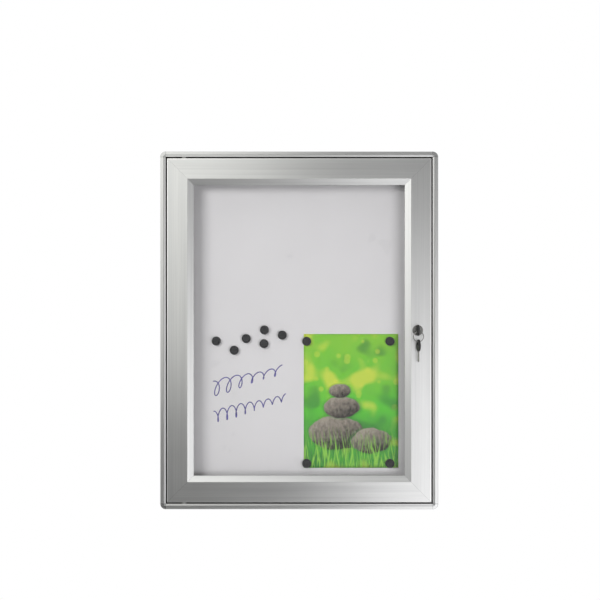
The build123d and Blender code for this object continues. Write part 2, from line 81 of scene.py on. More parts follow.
def newTree(name, kind, inputs, outputs):
    tree = bpy.data.node_groups.new(name, kind)
    for direction, sockets in (("OUTPUT", outputs), ("INPUT", inputs)):
        for label, (socketKind, value) in sockets.items():
            socketType = "NodeSocket" + socketKind
            socket = tree.interface.new_socket(label, in_out=direction, socket_type=socketType)
            if value is not None:
                socket.default_value = value
    return tree, addNode(tree, "NodeGroupInput").outputs, addNode(tree, "NodeGroupOutput").inputs


def calc(tree, operation, first, second=0.0, clamp=False):
    values = {0: first, 1: second}
    return addNode(tree, "ShaderNodeMath", values, operation=operation, use_clamp=clamp).outputs[0]


def weighted(tree, first, firstShare, second, secondShare):
    return calc(tree, "ADD", calc(tree, "MULTIPLY", first, firstShare),
                calc(tree, "MULTIPLY", second, secondShare))


def vectorCalc(tree, operation, first, second=(0.0, 0.0, 0.0), out="Vector"):
    return addNode(tree, "ShaderNodeVectorMath", {0: first, 1: second}, operation=operation).outputs[out]


def joinXyz(tree, x=0.0, y=0.0, z=0.0):
    return addNode(tree, "ShaderNodeCombineXYZ", {0: x, 1: y, 2: z}).outputs[0]


def splitXyz(tree, vector):
    return addNode(tree, "ShaderNodeSeparateXYZ", {0: vector}).outputs


def remap(tree, value, fromLow, fromHigh, toLow, toHigh, smooth=False):
    values = {"Value": value, "From Min": fromLow, "From Max": fromHigh, "To Min": toLow, "To Max": toHigh}
    curve = "SMOOTHSTEP" if smooth else "LINEAR"
    return addNode(tree, "ShaderNodeMapRange", values, interpolation_type=curve).outputs["Result"]


def mixColor(tree, factor, first, second):
    return addNode(tree, "ShaderNodeMix", {0: factor, 6: first, 7: second}, data_type="RGBA").outputs[2]


def noise(tree, vector, size, detail=2.0, roughness=0.5):
    isSocket = isinstance(size, bpy.types.NodeSocket)
    scale = calc(tree, "DIVIDE", 1.0, size) if isSocket else 1.0 / size
    values = {"Vector": vector, "Scale": scale, "Detail": detail, "Roughness": roughness}
    return addNode(tree, "ShaderNodeTexNoise", values).outputs["Fac"]


def rgb(red, green, blue):
    return (red, green, blue, 1.0)


def spacedName(label):
    # headTop becomes Head Top, as the sockets are named
    spaced = "".join(" " + letter if letter.isupper() else letter for letter in label)
    return spaced[0].upper() + spaced[1:]


# shared surface effects

linesLook = {"detail": 3.0, "roughness": 0.6}
mottleLook = {"detail": 3.0, "roughness": 0.55}
wearLook = {"samples": 4, "turn": (0.01, 0.2), "patch": (0.35, 0.65), "patchShare": (0.4, 1.0)}


def makeExtrusionLines():
    # drawn lines that run along X of the coordinates, with broader bands under them
    inputs = {"Coordinates": ("Vector", None), "Line Width": ("Float", 0.001),
              "Run Length": ("Float", 0.5), "Band Width": ("Float", 0.008)}
    outputs = {"Lines": ("Float", None), "Bands": ("Float", None)}
    tree, given, out = newTree("extrusionLines", "ShaderNodeTree", inputs, outputs)
    along = calc(tree, "DIVIDE", 1.0, given["Run Length"])
    for label, width in (("Lines", "Line Width"), ("Bands", "Band Width")):
        across = calc(tree, "DIVIDE", 1.0, given[width])
        spot = vectorCalc(tree, "MULTIPLY", given["Coordinates"], joinXyz(tree, along, across, across))
        tree.links.new(noise(tree, spot, 1.0, **linesLook), out[label])
    return tree


def makeSoftMottle():
    # slow cloudy change and fine grain, for handling marks and moulded skins
    inputs = {"Coordinates": ("Vector", None), "Cloud Size": ("Float", 0.06),
              "Grain Size": ("Float", 0.0006)}
    outputs = {"Cloud": ("Float", None), "Grain": ("Float", None)}
    tree, given, out = newTree("softMottle", "ShaderNodeTree", inputs, outputs)
    for label in outputs:
        spots = noise(tree, given["Coordinates"], given[label + " Size"], **mottleLook)
        tree.links.new(spots, out[label])
    return tree


def makeEdgeWear():
    # a mask that rises where the surface turns within the given radius
    inputs = {"Coordinates": ("Vector", None), "Radius": ("Float", 0.0008), "Break Up": ("Float", 0.01)}
    tree, given, out = newTree("edgeWear", "ShaderNodeTree", inputs, {"Edge": ("Float", None)})
    bevel = addNode(tree, "ShaderNodeBevel", {"Radius": given["Radius"]}, samples=wearLook["samples"])
    plain = addNode(tree, "ShaderNodeNewGeometry").outputs["Normal"]
    likeness = vectorCalc(tree, "DOT_PRODUCT", bevel.outputs["Normal"], plain, out="Value")
    turn = remap(tree, calc(tree, "SUBTRACT", 1.0, likeness), *wearLook["turn"], 0.0, 1.0)
    patch = noise(tree, given["Coordinates"], given["Break Up"])
    share = remap(tree, patch, *wearLook["patch"], *wearLook["patchShare"])
    tree.links.new(calc(tree, "MULTIPLY", turn, share), out["Edge"])
    return tree


effects = {"lines": makeExtrusionLines(), "mottle": makeSoftMottle(), "wear": makeEdgeWear()}


class Finish:
    # one material with its Principled shader, its Object coordinates and the shared effects

    def __init__(self, name, settings):
        self.material = bpy.data.materials.new(name)
        self.material.use_nodes = True
        self.tree = self.material.node_tree
        self.tree.nodes.clear()
        self.output = addNode(self.tree, "ShaderNodeOutputMaterial")
        self.shader = addNode(self.tree, "ShaderNodeBsdfPrincipled", settings)
        self.tree.links.new(self.shader.outputs["BSDF"], self.output.inputs["Surface"])
        self.place = addNode(self.tree, "ShaderNodeTexCoord").outputs["Object"]

    def effect(self, name, coordinates=None, **values):
        node = addNode(self.tree, "ShaderNodeGroup", node_tree=effects[name])
        self.tree.links.new(coordinates or self.place, node.inputs["Coordinates"])
        for label, value in values.items():
            node.inputs[spacedName(label)].default_value = value
        return node.outputs

    def turned(self, turn=(0.0, 0.0, 0.0), move=(0.0, 0.0, 0.0)):
        values = {"Vector": self.place, "Rotation": turn, "Location": move}
        return addNode(self.tree, "ShaderNodeMapping", values).outputs["Vector"]

    def bump(self, height, strength, distance):
        values = {"Height": height, "Strength": strength, "Distance": distance}
        self.feed("Normal", addNode(self.tree, "ShaderNodeBump", values).outputs["Normal"])

    def feed(self, socket, source):
        self.tree.links.new(source, self.shader.inputs[socket])


# aluminium

aluminiumLook = {
    "dark": rgb(0.60, 0.605, 0.60),
    "light": rgb(0.74, 0.745, 0.735),
    "worn": rgb(0.86, 0.86, 0.85),
    # painted highlight for the door's top and side edges and for the rim's lip next to the gap
    "rubbed": rgb(0.97, 0.97, 0.96),
    "seam": rgb(0.22, 0.22, 0.22),
    # painted shade for the inner sides of the gap round the door
    "dull": rgb(0.28, 0.28, 0.275),
    "lines": {"lineWidth": 0.0009, "runLength": 0.45, "bandWidth": 0.007},
    "mottle": {"cloudSize": 0.09, "grainSize": 0.0007},
    "wear": {"radius": 0.0006, "breakUp": 0.02},
    "lineShare": 0.45,
    "bandShare": 0.55,
    "wearShare": 0.55,
    "cloudShare": 0.5,
    "roughFrom": (0.45, 1.05),
    "rough": (0.29, 0.35),
    "lineStrength": 0.2,
    "lineHeight": 0.00003,
    "seamWidth": 0.00022,
    "jointWidth": 0.0009,
    "highlightWidth": 0.0026,
    "doorGap": 0.003,
    "lipRub": (0.25, 0.0, 1.0),  # on the rails that run along X, Y and Z
    "shadeInGapWidth": 0.0005,
    "shadeInGapDepth": (0.002, 0.005),
}


def nearLine(tree, gap, width):
    return remap(tree, gap, width / 2, width, 1.0, 0.0, smooth=True)


def doorHighlightAndSeams(tree, parts, color):
    # painted highlight along the door's top and side edges, and the cut lines of its corners
    look = aluminiumLook
    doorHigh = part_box("door_stile_right")[1]
    across = calc(tree, "SUBTRACT", doorHigh.x, calc(tree, "ABSOLUTE", parts[0]))
    along = calc(tree, "SUBTRACT", doorHigh.z, calc(tree, "ABSOLUTE", parts[2]))
    below = calc(tree, "SUBTRACT", doorHigh.z, parts[2])
    # painted highlight on the top and side edges of the door, none on its bottom edge
    outer = nearLine(tree, calc(tree, "MINIMUM", across, below), look["highlightWidth"])
    mitre = calc(tree, "ABSOLUTE", calc(tree, "SUBTRACT", across, along))
    return mixColor(tree, outer, color, look["rubbed"]), nearLine(tree, mitre, look["seamWidth"])


def cabinetLightShadeAndJoints(tree, parts, color, railAxis, railEnd):
    # a painted highlight on the lip round the door, painted shade on the inner sides behind it, and the
    # joints with the corner pieces
    look = aluminiumLook
    acrossAxis = 2 - railAxis
    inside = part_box("door_stile_right")[1][acrossAxis] + look["doorGap"]
    inset = calc(tree, "SUBTRACT", calc(tree, "ABSOLUTE", parts[acrossAxis]), inside)
    depth = calc(tree, "SUBTRACT", parts[1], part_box("cabinet_rail_left")[0].y)
    shallow = remap(tree, depth, *look["shadeInGapDepth"], look["lipRub"][railAxis], 0.0)
    # painted highlight on the rim's lip, strongest on the upright rails and fading deeper in
    lip = calc(tree, "MULTIPLY", nearLine(tree, inset, look["highlightWidth"]), shallow)
    color = mixColor(tree, lip, color, look["rubbed"])
    deep = remap(tree, depth, *look["shadeInGapDepth"], 0.0, 1.0)
    # painted shade on the inner sides of the gap, darker deeper in
    side = calc(tree, "MULTIPLY", nearLine(tree, inset, look["shadeInGapWidth"]), deep)
    color = mixColor(tree, side, color, look["dull"])
    end = calc(tree, "SUBTRACT", railEnd, calc(tree, "ABSOLUTE", parts[railAxis]))
    return color, nearLine(tree, calc(tree, "ABSOLUTE", end), look["jointWidth"])


def aluminium(name, turn, railAxis=None, railEnd=0.0):
    look = aluminiumLook
    finish = Finish(name, {"Metallic": 1.0})
    tree = finish.tree
    lines = finish.effect("lines", finish.turned(turn), **look["lines"])
    cloud = finish.effect("mottle", **look["mottle"])["Cloud"]
    edge = finish.effect("wear", **look["wear"])["Edge"]
    tone = weighted(tree, lines["Lines"], look["lineShare"], lines["Bands"], look["bandShare"])
    color = mixColor(tree, remap(tree, tone, *noiseSpan, 0.0, 1.0), look["dark"], look["light"])
    color = mixColor(tree, calc(tree, "MULTIPLY", edge, look["wearShare"]), color, look["worn"])
    parts = splitXyz(tree, finish.place)
    if railAxis is None:
        color, seam = doorHighlightAndSeams(tree, parts, color)
    else:
        color, seam = cabinetLightShadeAndJoints(tree, parts, color, railAxis, railEnd)
    finish.feed("Base Color", mixColor(tree, seam, color, look["seam"]))
    drawn = calc(tree, "ADD", lines["Lines"], calc(tree, "MULTIPLY", cloud, look["cloudShare"]))
    finish.feed("Roughness", remap(tree, drawn, *look["roughFrom"], *look["rough"]))
    finish.bump(lines["Lines"], look["lineStrength"], look["lineHeight"])
    return finish.material


acrossTurn = (0.0, 0.0, 0.0)
uprightTurn = (0.0, quarter, 0.0)
alongX = aluminium("anodisedAcross", acrossTurn, 0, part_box("cabinet_rail_top")[1].x)
alongZ = aluminium("anodisedUpright", uprightTurn, 2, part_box("cabinet_rail_left")[1].z)
doorX = aluminium("anodisedDoorRail", acrossTurn)
doorZ = aluminium("anodisedDoorStile", uprightTurn)


# cast and plated metal

castLook = {
    "worn": rgb(0.85, 0.85, 0.85),
    "shade": 0.86,
    "mottle": {"cloudSize": 0.02, "grainSize": 0.0005},
    "wear": {"radius": 0.0005, "breakUp": 0.008},
    "wearShare": 0.5,
    "roughSpread": (-0.05, 0.06),
    "grainStrength": 0.15,
    "grainHeight": 0.00004,
}


def castAlloy(name, color, roughness):
    look = castLook
    finish = Finish(name, {"Metallic": 1.0})
    tree = finish.tree
    mottle = finish.effect("mottle", **look["mottle"])
    edge = finish.effect("wear", **look["wear"])["Edge"]
    shade = rgb(*[value * look["shade"] for value in color[:3]])
    tone = mixColor(tree, remap(tree, mottle["Cloud"], *noiseSpan, 0.0, 1.0), shade, color)
    worn = calc(tree, "MULTIPLY", edge, look["wearShare"])
    finish.feed("Base Color", mixColor(tree, worn, tone, look["worn"]))
    low, high = [roughness + spread for spread in look["roughSpread"]]
    finish.feed("Roughness", remap(tree, mottle["Grain"], *noiseSpan, low, high))
    finish.bump(mottle["Grain"], look["grainStrength"], look["grainHeight"])
    return finish.material


cornerAlloy = castAlloy("cornerAlloy", rgb(0.66, 0.665, 0.66), 0.25)
cleatAlloy = castAlloy("cleatAlloy", rgb(0.55, 0.55, 0.55), 0.55)
zincPlate = castAlloy("zincPlate", rgb(0.66, 0.66, 0.63), 0.34)
pinSteel = castAlloy("pinSteel", rgb(0.55, 0.55, 0.56), 0.28)
nickelPlate = castAlloy("nickelPlate", rgb(0.32, 0.315, 0.30), 0.24)
ringSteel = castAlloy("ringSteel", rgb(0.26, 0.26, 0.25), 0.2)


# panel layers

enamelLook = {
    "deep": rgb(0.855, 0.85, 0.86),
    "pale": rgb(0.88, 0.875, 0.885),
    "shine": 0.5,
    "rough": (0.26, 0.36),
    "mottle": {"cloudSize": 0.12, "grainSize": 0.0016},
    "grainStrength": 0.05,
    "grainHeight": 0.00005,
}


def enamel():
    look = enamelLook
    finish = Finish("whiteEnamel", {"Specular IOR Level": look["shine"]})
    tree = finish.tree
    mottle = finish.effect("mottle", **look["mottle"])
    tone = remap(tree, mottle["Cloud"], *noiseSpan, 0.0, 1.0)
    finish.feed("Base Color", mixColor(tree, tone, look["deep"], look["pale"]))
    finish.feed("Roughness", remap(tree, mottle["Cloud"], *noiseSpan, *look["rough"]))
    finish.bump(mottle["Grain"], look["grainStrength"], look["grainHeight"])
    return finish.material


spangleLook = {
    "dark": rgb(0.42, 0.44, 0.45),
    "light": rgb(0.68, 0.70, 0.71),
    "cellsPerMetre": 75.0,
    "cellShare": 0.6,
    "cloudShare": 0.4,
    "mottle": {"cloudSize": 0.05, "grainSize": 0.0008},
    "rough": (0.36, 0.54),
}


def galvanised():
    # zinc spangle: crystal patches a centimetre or two across
    look = spangleLook
    finish = Finish("galvanisedSheet", {"Metallic": 1.0})
    tree = finish.tree
    cells = addNode(tree, "ShaderNodeTexVoronoi", {"Vector": finish.place, "Scale": look["cellsPerMetre"]})
    tint = addNode(tree, "ShaderNodeSeparateColor", {0: cells.outputs["Color"]}).outputs[0]
    cloud = finish.effect("mottle", **look["mottle"])["Cloud"]
    tone = weighted(tree, tint, look["cellShare"], cloud, look["cloudShare"])
    finish.feed("Base Color", mixColor(tree, tone, look["dark"], look["light"]))
    finish.feed("Roughness", remap(tree, tint, 0.0, 1.0, *look["rough"]))
    return finish.material


boardLook = {
    "dark": rgb(0.30, 0.21, 0.13),
    "light": rgb(0.52, 0.41, 0.29),
    "roughness": 0.85,
    "lines": {"lineWidth": 0.0012, "runLength": 0.01, "bandWidth": 0.006},
    "lineStrength": 0.5,
    "lineHeight": 0.0003,
}


def board():
    look = boardLook
    finish = Finish("pressedBoard", {"Roughness": look["roughness"]})
    chips = finish.effect("lines", **look["lines"])["Lines"]
    finish.feed("Base Color", mixColor(finish.tree, chips, look["dark"], look["light"]))
    finish.bump(chips, look["lineStrength"], look["lineHeight"])
    return finish.material


# plastics and rubber

mouldedLook = {
    "cloudSize": 0.015,
    "wear": {"radius": 0.0005, "breakUp": 0.004},
    "rubGain": 1.5,
    "rubLift": 0.03,
    "roughSpread": (-0.06, 0.08),
    "grainStrength": 0.25,
    "grainHeight": 0.00006,
}


def moulded(name, dark, light, roughness, grain, wear=0.25, shine=0.5):
    look = mouldedLook
    finish = Finish(name, {"Specular IOR Level": shine})
    tree = finish.tree
    mottle = finish.effect("mottle", cloudSize=look["cloudSize"], grainSize=grain)
    edge = finish.effect("wear", **look["wear"])["Edge"]
    tone = mixColor(tree, remap(tree, mottle["Cloud"], *noiseSpan, 0.0, 1.0), dark, light)
    rubbed = rgb(*[min(1.0, value * look["rubGain"] + look["rubLift"]) for value in light[:3]])
    finish.feed("Base Color", mixColor(tree, calc(tree, "MULTIPLY", edge, wear), tone, rubbed))
    low, high = [roughness + spread for spread in look["roughSpread"]]
    finish.feed("Roughness", remap(tree, mottle["Grain"], *noiseSpan, low, high))
    finish.bump(mottle["Grain"], look["grainStrength"], look["grainHeight"])
    return finish.material


bushPlastic = moulded("bushPlastic", rgb(0.70, 0.70, 0.68), rgb(0.80, 0.80, 0.77), 0.5, 0.0005)
softRubber = moulded("softRubber", rgb(0.022, 0.022, 0.023), rgb(0.04, 0.04, 0.041), 0.82, 0.0007, wear=0.1)
graphite = moulded("magnetGraphite", rgb(0.008, 0.009, 0.010), rgb(0.015, 0.016, 0.018), 0.6, 0.0004,
                   wear=0.12, shine=0.12)
keyPlastic = moulded("keyPlastic", rgb(0.010, 0.010, 0.011), rgb(0.018, 0.018, 0.019), 0.42, 0.0005)


# lock face, turned on a lathe about the plug's axis

lockLook = {
    "dark": rgb(0.10, 0.10, 0.095),
    "light": rgb(0.26, 0.26, 0.25),
    "pitch": 0.0005,
    "ringShare": 0.15,
    "mottle": {"cloudSize": 0.004, "grainSize": 0.0004},
    "rough": (0.16, 0.28),
    "ringStrength": 0.2,
    "ringHeight": 0.00003,
}


def turnedPlate():
    look = lockLook
    finish = Finish("turnedPlate", {"Metallic": 1.0})
    tree = finish.tree
    low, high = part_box("lock_plug")
    centred = finish.turned(move=(-(low.x + high.x) / 2, 0.0, -(low.z + high.z) / 2))
    flat = vectorCalc(tree, "MULTIPLY", centred, (1.0, 0.0, 1.0))
    radius = vectorCalc(tree, "LENGTH", flat, out="Value")
    ring = calc(tree, "SINE", calc(tree, "MULTIPLY", radius, 2 * math.pi / look["pitch"]))
    cloud = finish.effect("mottle", **look["mottle"])["Cloud"]
    tone = calc(tree, "ADD", calc(tree, "MULTIPLY", ring, look["ringShare"]), cloud, clamp=True)
    finish.feed("Base Color", mixColor(tree, tone, look["dark"], look["light"]))
    finish.feed("Roughness", remap(tree, cloud, *noiseSpan, *look["rough"]))
    finish.bump(ring, look["ringStrength"], look["ringHeight"])
    return finish.material


# pane: lamps reach through it to the panel

paneLook = {
    "tint": rgb(0.99, 0.987, 0.99),
    "passed": rgb(0.958, 0.955, 0.958),
    "ior": 1.49,
    "mottle": {"cloudSize": 0.2, "grainSize": 0.002},
    "hazeFrom": (0.35, 0.7),
    "haze": (0.0, 0.02),
}


def clearPane():
    look = paneLook
    finish = Finish("clearPane", {"Base Color": look["tint"], "Metallic": 0.0, "Transmission Weight": 1.0,
                                  "IOR": look["ior"]})
    tree = finish.tree
    cloud = finish.effect("mottle", **look["mottle"])["Cloud"]
    finish.feed("Roughness", remap(tree, cloud, *look["hazeFrom"], *look["haze"]))
    through = addNode(tree, "ShaderNodeBsdfTransparent", {"Color": look["passed"]}).outputs["BSDF"]
    path = addNode(tree, "ShaderNodeLightPath").outputs
    passing = calc(tree, "MAXIMUM", path["Is Shadow Ray"], path["Is Diffuse Ray"])
    both = addNode(tree, "ShaderNodeMixShader", {0: passing, 1: finish.shader.outputs["BSDF"], 2: through})
    tree.links.new(both.outputs["Shader"], finish.output.inputs["Surface"])
    return finish.material


print("finishes made:", len(bpy.data.materials))


# CAD nodes keep their shape and take their finish here

def dress(material, *names):
    for name in names:
        slots = nodes[name].data.materials
        slots.clear()
        slots.append(material)


dress(alongX, "cabinet_rail_top", "cabinet_rail_bottom", "glazing_bead_top", "glazing_bead_bottom")
dress(alongZ, "cabinet_rail_left", "cabinet_rail_right", "glazing_bead_left", "glazing_bead_right")
dress(doorX, "door_rail_top", "door_rail_bottom")
dress(doorZ, "door_stile_left", "door_stile_right")
dress(cornerAlloy, *[name for name in nodes if name.startswith("cabinet_corner")])
dress(cleatAlloy, "pivot_cleats", "corner_cleats")
dress(enamel(), "panel_face")
dress(board(), "panel_core")
dress(galvanised(), "panel_rear_sheet")
dress(bushPlastic, "hinge_bush_top", "hinge_bush_bottom")
dress(zincPlate, "strike_plate", "stop_bracket_top", "stop_bracket_bottom")
dress(zincPlate, "lock_cam", "lock_nut", "cam_screw")
dress(softRubber, "stop_buffers", "glazing_gasket")
dress(graphite, *[name for name in nodes if name.startswith("magnet_")])
dress(clearPane(), "door_pane")
dress(pinSteel, "pivot_pin_top", "pivot_pin_bottom")
dress(turnedPlate(), "lock_housing", "lock_plug")
dress(keyPlastic, "key_head", "spare_key_head")
dress(nickelPlate, "key_blade", "spare_key_blade")
print("CAD nodes dressed")


# tools for the pieces made here

geometrySocket = {"Geometry": ("Geometry", None)}


def addPiece(name, mesh, body, slotName, *stoodFor):
    piece = bpy.data.objects.new(name, mesh)
    scene.collection.objects.link(piece)
    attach(piece, body)
    if stoodFor:
        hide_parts(*stoodFor)
    return piece


def pathMesh(name, points, joined=True):
    mesh = bpy.data.meshes.new(name)
    edges = [(i, i + 1) for i in range(len(points) - 1)] if joined else []
    mesh.from_pydata([tuple(point) for point in points], edges, [])
    return mesh


def growMesh(name, source, tree, values):
    # runs a Geometry Nodes tree on a mesh and hands back the plain result
    carrier = bpy.data.objects.new(name + "Source", source)
    scene.collection.objects.link(carrier)
    modifier = carrier.modifiers.new("grow", "NODES")
    modifier.node_group = tree
    for item in tree.interface.items_tree:
        if item.item_type == "SOCKET" and item.in_out == "INPUT" and item.name in values:
            modifier[item.identifier] = values[item.name]
    graph = bpy.context.evaluated_depsgraph_get()
    mesh = bpy.data.meshes.new_from_object(carrier.evaluated_get(graph), depsgraph=graph)
    mesh.name = name
    carrier.modifiers.remove(modifier)
    bpy.data.objects.remove(carrier)
    return mesh


def moved(tree, geometry, change):
    return addNode(tree, "GeometryNodeTransform", {"Geometry": geometry, **change}).outputs["Geometry"]


def sweep(tree, curve, sides, wide, thick):
    # an oval section, from a circle one unit across, along the curve
    values = {"Resolution": sides, "Radius": 0.5}
    circle = addNode(tree, "GeometryNodeCurvePrimitiveCircle", values).outputs["Curve"]
    section = moved(tree, circle, {"Scale": joinXyz(tree, wide, thick, 1.0)})
    values = {"Curve": curve, "Profile Curve": section, "Fill Caps": True}
    return addNode(tree, "GeometryNodeCurveToMesh", values).outputs["Mesh"]


def closeTree(tree, geometry, given, out, smooth=True):
    if smooth:
        geometry = addNode(tree, "GeometryNodeSetShadeSmooth", {"Geometry": geometry}).outputs["Geometry"]
    real = addNode(tree, "GeometryNodeRealizeInstances", {"Geometry": geometry}).outputs["Geometry"]
    painted = addNode(tree, "GeometryNodeSetMaterial", {"Geometry": real, "Material": given["Finish"]})
    tree.links.new(painted.outputs["Geometry"], out["Geometry"])


# key ring: two close turns of flat wire

ringLook = {"turns": 1.92, "radial": 0.0017, "axial": 0.00082, "resolution": 56, "wireSides": 14}


def makeRingTree():
    inputs = {**geometrySocket, "Radius": ("Float", 0.011), "Turns": ("Float", 2.0),
              "Radial": ("Float", 0.0017), "Axial": ("Float", 0.0008), "Pitch": ("Float", 0.001),
              "Resolution": ("Int", 48), "Centre": ("Vector", None), "Turn": ("Vector", None),
              "Finish": ("Material", None)}
    tree, given, out = newTree("splitRing", "GeometryNodeTree", inputs, geometrySocket)
    height = calc(tree, "MULTIPLY", given["Pitch"], given["Turns"])
    values = {"Resolution": given["Resolution"], "Rotations": given["Turns"], "Height": height,
              "Start Radius": given["Radius"], "End Radius": given["Radius"]}
    coil = addNode(tree, "GeometryNodeCurveSpiral", values).outputs["Curve"]
    upright = addNode(tree, "GeometryNodeSetCurveNormal", {"Curve": coil}, mode="Z_UP").outputs["Curve"]
    wire = sweep(tree, upright, ringLook["wireSides"], given["Radial"], given["Axial"])
    level = moved(tree, wire, {"Translation": joinXyz(tree, z=calc(tree, "MULTIPLY", height, -0.5))})
    placed = moved(tree, level, {"Rotation": given["Turn"], "Translation": given["Centre"]})
    closeTree(tree, placed, given, out)
    return tree


def makeSplitRing():
    low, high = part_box("key_ring")
    centre = (low + high) / 2
    values = {"Radius": (high.x - low.x - ringLook["radial"]) / 2, "Turns": ringLook["turns"],
              "Radial": ringLook["radial"], "Axial": ringLook["axial"], "Pitch": (high.y - low.y) / 2,
              "Resolution": ringLook["resolution"], "Centre": tuple(centre), "Turn": (quarter, 0.0, 0.0),
              "Finish": ringSteel}
    mesh = growMesh("splitRing", pathMesh("ringSeed", [centre], joined=False), makeRingTree(), values)
    return addPiece("splitRing", mesh, "key_ring", "ring_steel", "key_ring")


makeSplitRing()
print("split ring coiled")


# screws: a cross recess in each head, one set behind the panel and one on the angles

screwLook = {
    "panel_screws": {"headTop": 0.0030, "headFoot": 0.00175, "headHeight": 0.00125, "shank": 0.00172,
                     "recess": 0.0034, "slot": 0.0007, "depth": 0.0009, "turn": (-quarter, 0.0, 0.0)},
    "bracket_screws": {"headTop": 0.0024, "headFoot": 0.0032, "headHeight": 0.0020, "shank": 0.0017,
                       "recess": 0.0034, "slot": 0.0008, "depth": 0.0012, "turn": (0.0, -quarter, 0.0)},
}
screwSides = {"head": 28, "shank": 20}
weldDistance = 1e-6


def islandBoxes(name):
    # each loose solid of a CAD node, as its lowest and highest corner
    work = bmesh.new()
    work.from_mesh(nodes[name].data)
    bmesh.ops.remove_doubles(work, verts=work.verts, dist=weldDistance)
    boxes, seen = [], set()
    for vert in work.verts:
        if vert in seen:
            continue
        group, stack = [], [vert]
        seen.add(vert)
        while stack:
            here = stack.pop()
            group.append(here.co.copy())
            for edge in here.link_edges:
                other = edge.other_vert(here)
                if other not in seen:
                    seen.add(other)
                    stack.append(other)
        boxes.append((Vector(map(min, zip(*group))), Vector(map(max, zip(*group)))))
    work.free()
    return boxes


def makeScrewTree():
    # a screw that points down from the origin, on each point of the mesh
    sizes = ("Head Top", "Head Foot", "Head Height", "Shank", "Length", "Recess", "Slot", "Depth")
    inputs = {**geometrySocket, **{size: ("Float", 0.002) for size in sizes}, "Turn": ("Vector", None),
              "Finish": ("Material", None)}
    tree, given, out = newTree("crossHeadScrews", "GeometryNodeTree", inputs, geometrySocket)
    values = {"Vertices": screwSides["head"], "Radius Top": given["Head Top"],
              "Radius Bottom": given["Head Foot"], "Depth": given["Head Height"]}
    cone = addNode(tree, "GeometryNodeMeshCone", values).outputs["Mesh"]
    sunk = joinXyz(tree, z=calc(tree, "MULTIPLY", given["Head Height"], -1.0))
    head = moved(tree, cone, {"Translation": sunk})
    cut = addNode(tree, "GeometryNodeMeshBoolean", {"Mesh 1": head}, operation="DIFFERENCE")
    twice = calc(tree, "MULTIPLY", given["Depth"], 2.0)
    for first, second in (("Recess", "Slot"), ("Slot", "Recess")):
        size = joinXyz(tree, given[first], given[second], twice)
        bar = addNode(tree, "GeometryNodeMeshCube", {"Size": size}).outputs["Mesh"]
        tree.links.new(bar, cut.inputs["Mesh 2"])
    values = {"Vertices": screwSides["shank"], "Radius": given["Shank"],
              "Depth": calc(tree, "SUBTRACT", given["Length"], given["Head Height"])}
    shank = addNode(tree, "GeometryNodeMeshCylinder", values).outputs["Mesh"]
    below = calc(tree, "MULTIPLY", calc(tree, "ADD", given["Length"], given["Head Height"]), -0.5)
    stem = moved(tree, shank, {"Translation": joinXyz(tree, z=below)})
    screw = addNode(tree, "GeometryNodeJoinGeometry")
    tree.links.new(cut.outputs["Mesh"], screw.inputs["Geometry"])
    tree.links.new(stem, screw.inputs["Geometry"])
    values = {"Points": given["Geometry"], "Rotation": given["Turn"], "Instance": screw.outputs["Geometry"]}
    spread = addNode(tree, "GeometryNodeInstanceOnPoints", values).outputs["Instances"]
    closeTree(tree, spread, given, out, smooth=False)
    return tree


screwTree = makeScrewTree()
for node, look in screwLook.items():
    boxes = islandBoxes(node)
    if node == "panel_screws":  # heads face the wall
        places = [((low.x + high.x) / 2, high.y, (low.z + high.z) / 2) for low, high in boxes]
        length = boxes[0][1].y - boxes[0][0].y
    else:  # heads face into the case
        places = [(low.x, (low.y + high.y) / 2, (low.z + high.z) / 2) for low, high in boxes]
        length = boxes[0][1].x - boxes[0][0].x
    values = {spacedName(key): value for key, value in look.items()}
    values.update({"Length": length, "Finish": zincPlate})
    pieceName = "crossHead" + node.split("_")[0].capitalize() + "Screws"
    mesh = growMesh(pieceName, pathMesh(node + "Places", places, joined=False), screwTree, values)
    addPiece(pieceName, mesh, "cabinet", "zinc_screws", node)
    print(pieceName, "set:", len(places))


# picture sheet: stones in a meadow, printed to the edges of the paper

sheetLook = {
    "cells": (28, 40),
    "lift": 0.00088,
    "middleLift": 0.35,
    "upperLift": 0.6,
    "sideLift": 0.45,
    "roughness": 0.5,
    "shine": 0.25,
    "paper": rgb(0.82, 0.82, 0.80),
    "paperFrom": (-0.6, -0.4),
    "fibre": {"cloudSize": 0.03, "grainSize": 0.0005},
    "fibreStrength": 0.06,
    "fibreHeight": 0.00003,
}
meadowLook = {
    "grass": [(0.0, rgb(0.05, 0.34, 0.035)), (0.45, rgb(0.11, 0.66, 0.03)), (1.0, rgb(0.27, 0.70, 0.03))],
    "glow": rgb(0.82, 0.90, 0.08),
    "shade": rgb(0.03, 0.22, 0.03),
    "driftSize": 0.07,
    "drift": (-0.14, 0.14),
    "patchMove": (0.4, 0.0, 0.1),
    "patchSize": 0.055,
    "glowFrom": (0.52, 0.72),
    "glowShare": 0.75,
    "shadeFrom": (0.46, 0.30),
    "shadeShare": 0.65,
    "discsPerMetre": 34.0,
    "discEdge": (0.26, 0.22),
    "discHeight": (0.35, 0.6),
    "discShare": 0.35,
}
stoneLook = {
    "stones": [((0.072, 0.078), (0.060, 0.038)), ((0.150, 0.060), (0.044, 0.028)),
               ((0.084, 0.134), (0.040, 0.024)), ((0.080, 0.171), (0.024, 0.015))],
    "dark": rgb(0.022, 0.018, 0.013),
    "light": rgb(0.42, 0.37, 0.30),
    "lichenStretch": (1.0, 0.0, 0.6),
    "lichenSize": 0.0075,
    "lichen": (-0.75, 0.6),
    "wobbleSize": 0.02,
    "wobble": (-0.12, 0.12),
    "lightFrom": (-0.45, 0.0, 0.9),
    "toneFrom": (-0.8, 0.95),
    "castFrom": (1.25, 0.95),
    "castShare": 0.5,
    "rim": (1.03, 0.97),
}
